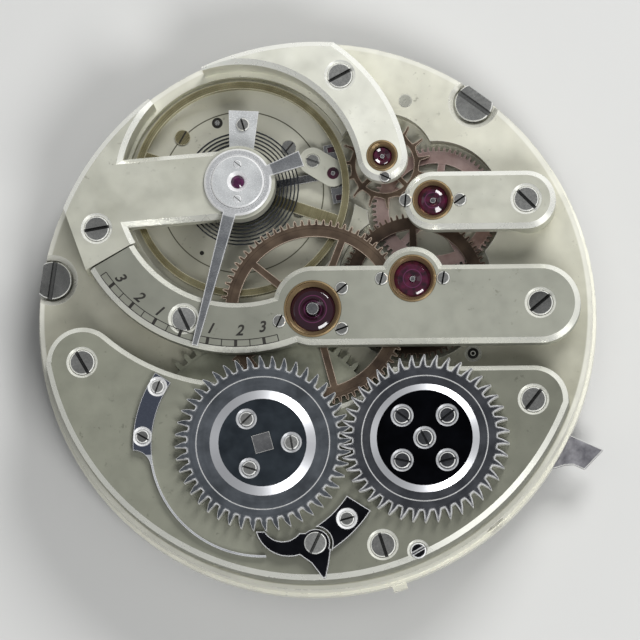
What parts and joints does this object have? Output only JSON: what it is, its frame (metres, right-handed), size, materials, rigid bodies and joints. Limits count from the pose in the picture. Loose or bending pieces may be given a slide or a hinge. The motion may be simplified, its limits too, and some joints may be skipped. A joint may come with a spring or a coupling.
{
  "type": "pocket watch movement",
  "caption": "Round bar movement of a keyless pocket watch: jewelled going train, swinging balance under a cock with an index, and toothed winding wheels with a click.",
  "frame": {"origin": "on the centre wheel's axis, in the plane of the plate's case seat", "axes": "+Z to the bridge side, +Y to the top of the picture, +X to its right"},
  "size_m": [0.0434, 0.043, 0.0095],
  "materials": {
    "nickel_silver": "fine frosted, polished bevels",
    "gilt_brass": "gilt",
    "copper_brass": "toned brass",
    "polished_steel": "polished",
    "black_steel": "black polished",
    "blued_steel": "blued",
    "ruby": "polished ruby"
  },
  "bodies": {
    "plate": {"main_plate": "nickel_silver", "barrel_bridge": "nickel_silver", "train_bridge": "nickel_silver", "fourth_cock": "nickel_silver", "escape_cock": "nickel_silver", "balance_cock": "nickel_silver", "pallet_cock": "nickel_silver", "bridge_screws": "polished_steel", "pallet_cock_screw": "polished_steel", "case_screws": "polished_steel", "jewel_screws": "polished_steel", "centre_setting": "gilt_brass", "third_setting": "gilt_brass", "fourth_setting": "gilt_brass", "escape_setting": "gilt_brass", "train_jewels": "ruby", "endstone_cap": "polished_steel", "endstone": "ruby", "cap_screws": "polished_steel", "stud_carrier": "polished_steel", "stud_screw": "polished_steel", "hairspring": "blued_steel", "crown_core": "black_steel", "crown_screws": "polished_steel", "click_screw": "polished_steel", "click_bridle": "black_steel", "click_spring": "black_steel", "winding_screws": "polished_steel", "setting_lever_screw": "polished_steel", "detent_screw": "polished_steel", "plate_pins": "polished_steel"},
    "index": {"index": "polished_steel"},
    "barrel": {"barrel_drum": "gilt_brass", "barrel_cover": "gilt_brass", "mainspring": "blued_steel"},
    "ratchet": {"barrel_arbor": "polished_steel", "ratchet_wheel": "polished_steel", "ratchet_cap": "black_steel", "ratchet_screws": "polished_steel"},
    "crown": {"crown_wheel": "polished_steel"},
    "click": {"click": "black_steel"},
    "centre": {"centre_wheel": "copper_brass", "centre_arbor": "polished_steel", "cannon_pinion": "polished_steel"},
    "third": {"third_wheel": "copper_brass", "third_arbor": "polished_steel"},
    "fourth": {"fourth_wheel": "copper_brass", "fourth_arbor": "polished_steel"},
    "escape": {"escape_wheel": "copper_brass", "escape_arbor": "polished_steel"},
    "lever": {"pallet_lever": "polished_steel", "pallet_stones": "ruby", "pallet_arbor": "polished_steel"},
    "balance": {"balance_wheel": "gilt_brass", "balance_staff": "polished_steel", "roller": "polished_steel", "hair_collet": "gilt_brass"},
    "minute": {"minute_wheel": "gilt_brass"},
    "hour": {"hour_wheel": "gilt_brass"},
    "setting": {"setting_lever": "polished_steel"}
  },
  "joints": [
    {"name": "fourth_spin", "type": "hinge", "parent": "plate", "child": "fourth", "pos_m": [0.0092, 0.00834, 0.001], "axis": [0, 0, 1], "continuous": true},
    {"name": "third_spin", "type": "hinge", "parent": "plate", "child": "third", "pos_m": [0.00763, 0.00228, 0.0016], "axis": [0, 0, 1], "continuous": true},
    {"name": "centre_spin", "type": "hinge", "parent": "plate", "child": "centre", "pos_m": [0, 0, 0.003], "axis": [0, 0, 1], "continuous": true},
    {"name": "escape_spin", "type": "hinge", "parent": "plate", "child": "escape", "pos_m": [0.00533, 0.01183, 0.0013], "axis": [0, 0, 1], "continuous": true},
    {"name": "barrel_spin", "type": "hinge", "parent": "plate", "child": "barrel", "pos_m": [-0.00374, -0.01045, 0.0015], "axis": [0, 0, 1], "continuous": true},
    {"name": "minute_spin", "type": "hinge", "parent": "plate", "child": "minute", "pos_m": [0.00312, -0.0018, -0.0004], "axis": [0, 0, 1], "continuous": true},
    {"name": "hour_spin", "type": "hinge", "parent": "plate", "child": "hour", "pos_m": [0, 0, -0.0007], "axis": [0, 0, 1], "continuous": true},
    {"name": "ratchet_spin", "type": "hinge", "parent": "plate", "child": "ratchet", "pos_m": [-0.00374, -0.01045, 0.0056], "axis": [0, 0, 1], "continuous": true},
    {"name": "crown_spin", "type": "hinge", "parent": "plate", "child": "crown", "pos_m": [0.00861, -0.01019, 0.0056], "axis": [0, 0, 1], "continuous": true},
    {"name": "balance_swing", "type": "hinge", "parent": "plate", "child": "balance", "pos_m": [-0.00573, 0.00985, 0.0022], "axis": [0, 0, 1], "range_deg": [-135, 135]},
    {"name": "lever_swing", "type": "hinge", "parent": "plate", "child": "lever", "pos_m": [0.00135, 0.01112, 0.00135], "axis": [0, 0, 1], "range_deg": [-5, 5]},
    {"name": "index_turn", "type": "hinge", "parent": "plate", "child": "index", "pos_m": [-0.00573, 0.00985, 0.0053], "axis": [0, 0, 1], "range_deg": [-20, 20]},
    {"name": "click_turn", "type": "hinge", "parent": "plate", "child": "click", "pos_m": [0.00028, -0.01817, 0.0055], "axis": [0, 0, 1], "range_deg": [0, 8]},
    {"name": "setting_lever_turn", "type": "hinge", "parent": "plate", "child": "setting", "pos_m": [0.01443, -0.00937, -0.0007], "axis": [0, 0, 1], "range_deg": [-1, 1]}
  ],
  "couplings": [
    {"joint": "third_spin", "follows": "fourth_spin", "ratio": -0.13333},
    {"joint": "escape_spin", "follows": "fourth_spin", "ratio": -10},
    {"joint": "centre_spin", "follows": "fourth_spin", "ratio": 0.016667},
    {"joint": "barrel_spin", "follows": "fourth_spin", "ratio": -0.0030303},
    {"joint": "minute_spin", "follows": "fourth_spin", "ratio": -0.0055556},
    {"joint": "hour_spin", "follows": "fourth_spin", "ratio": 0.0013889},
    {"joint": "crown_spin", "follows": "ratchet_spin", "ratio": -1.0476}
  ]
}
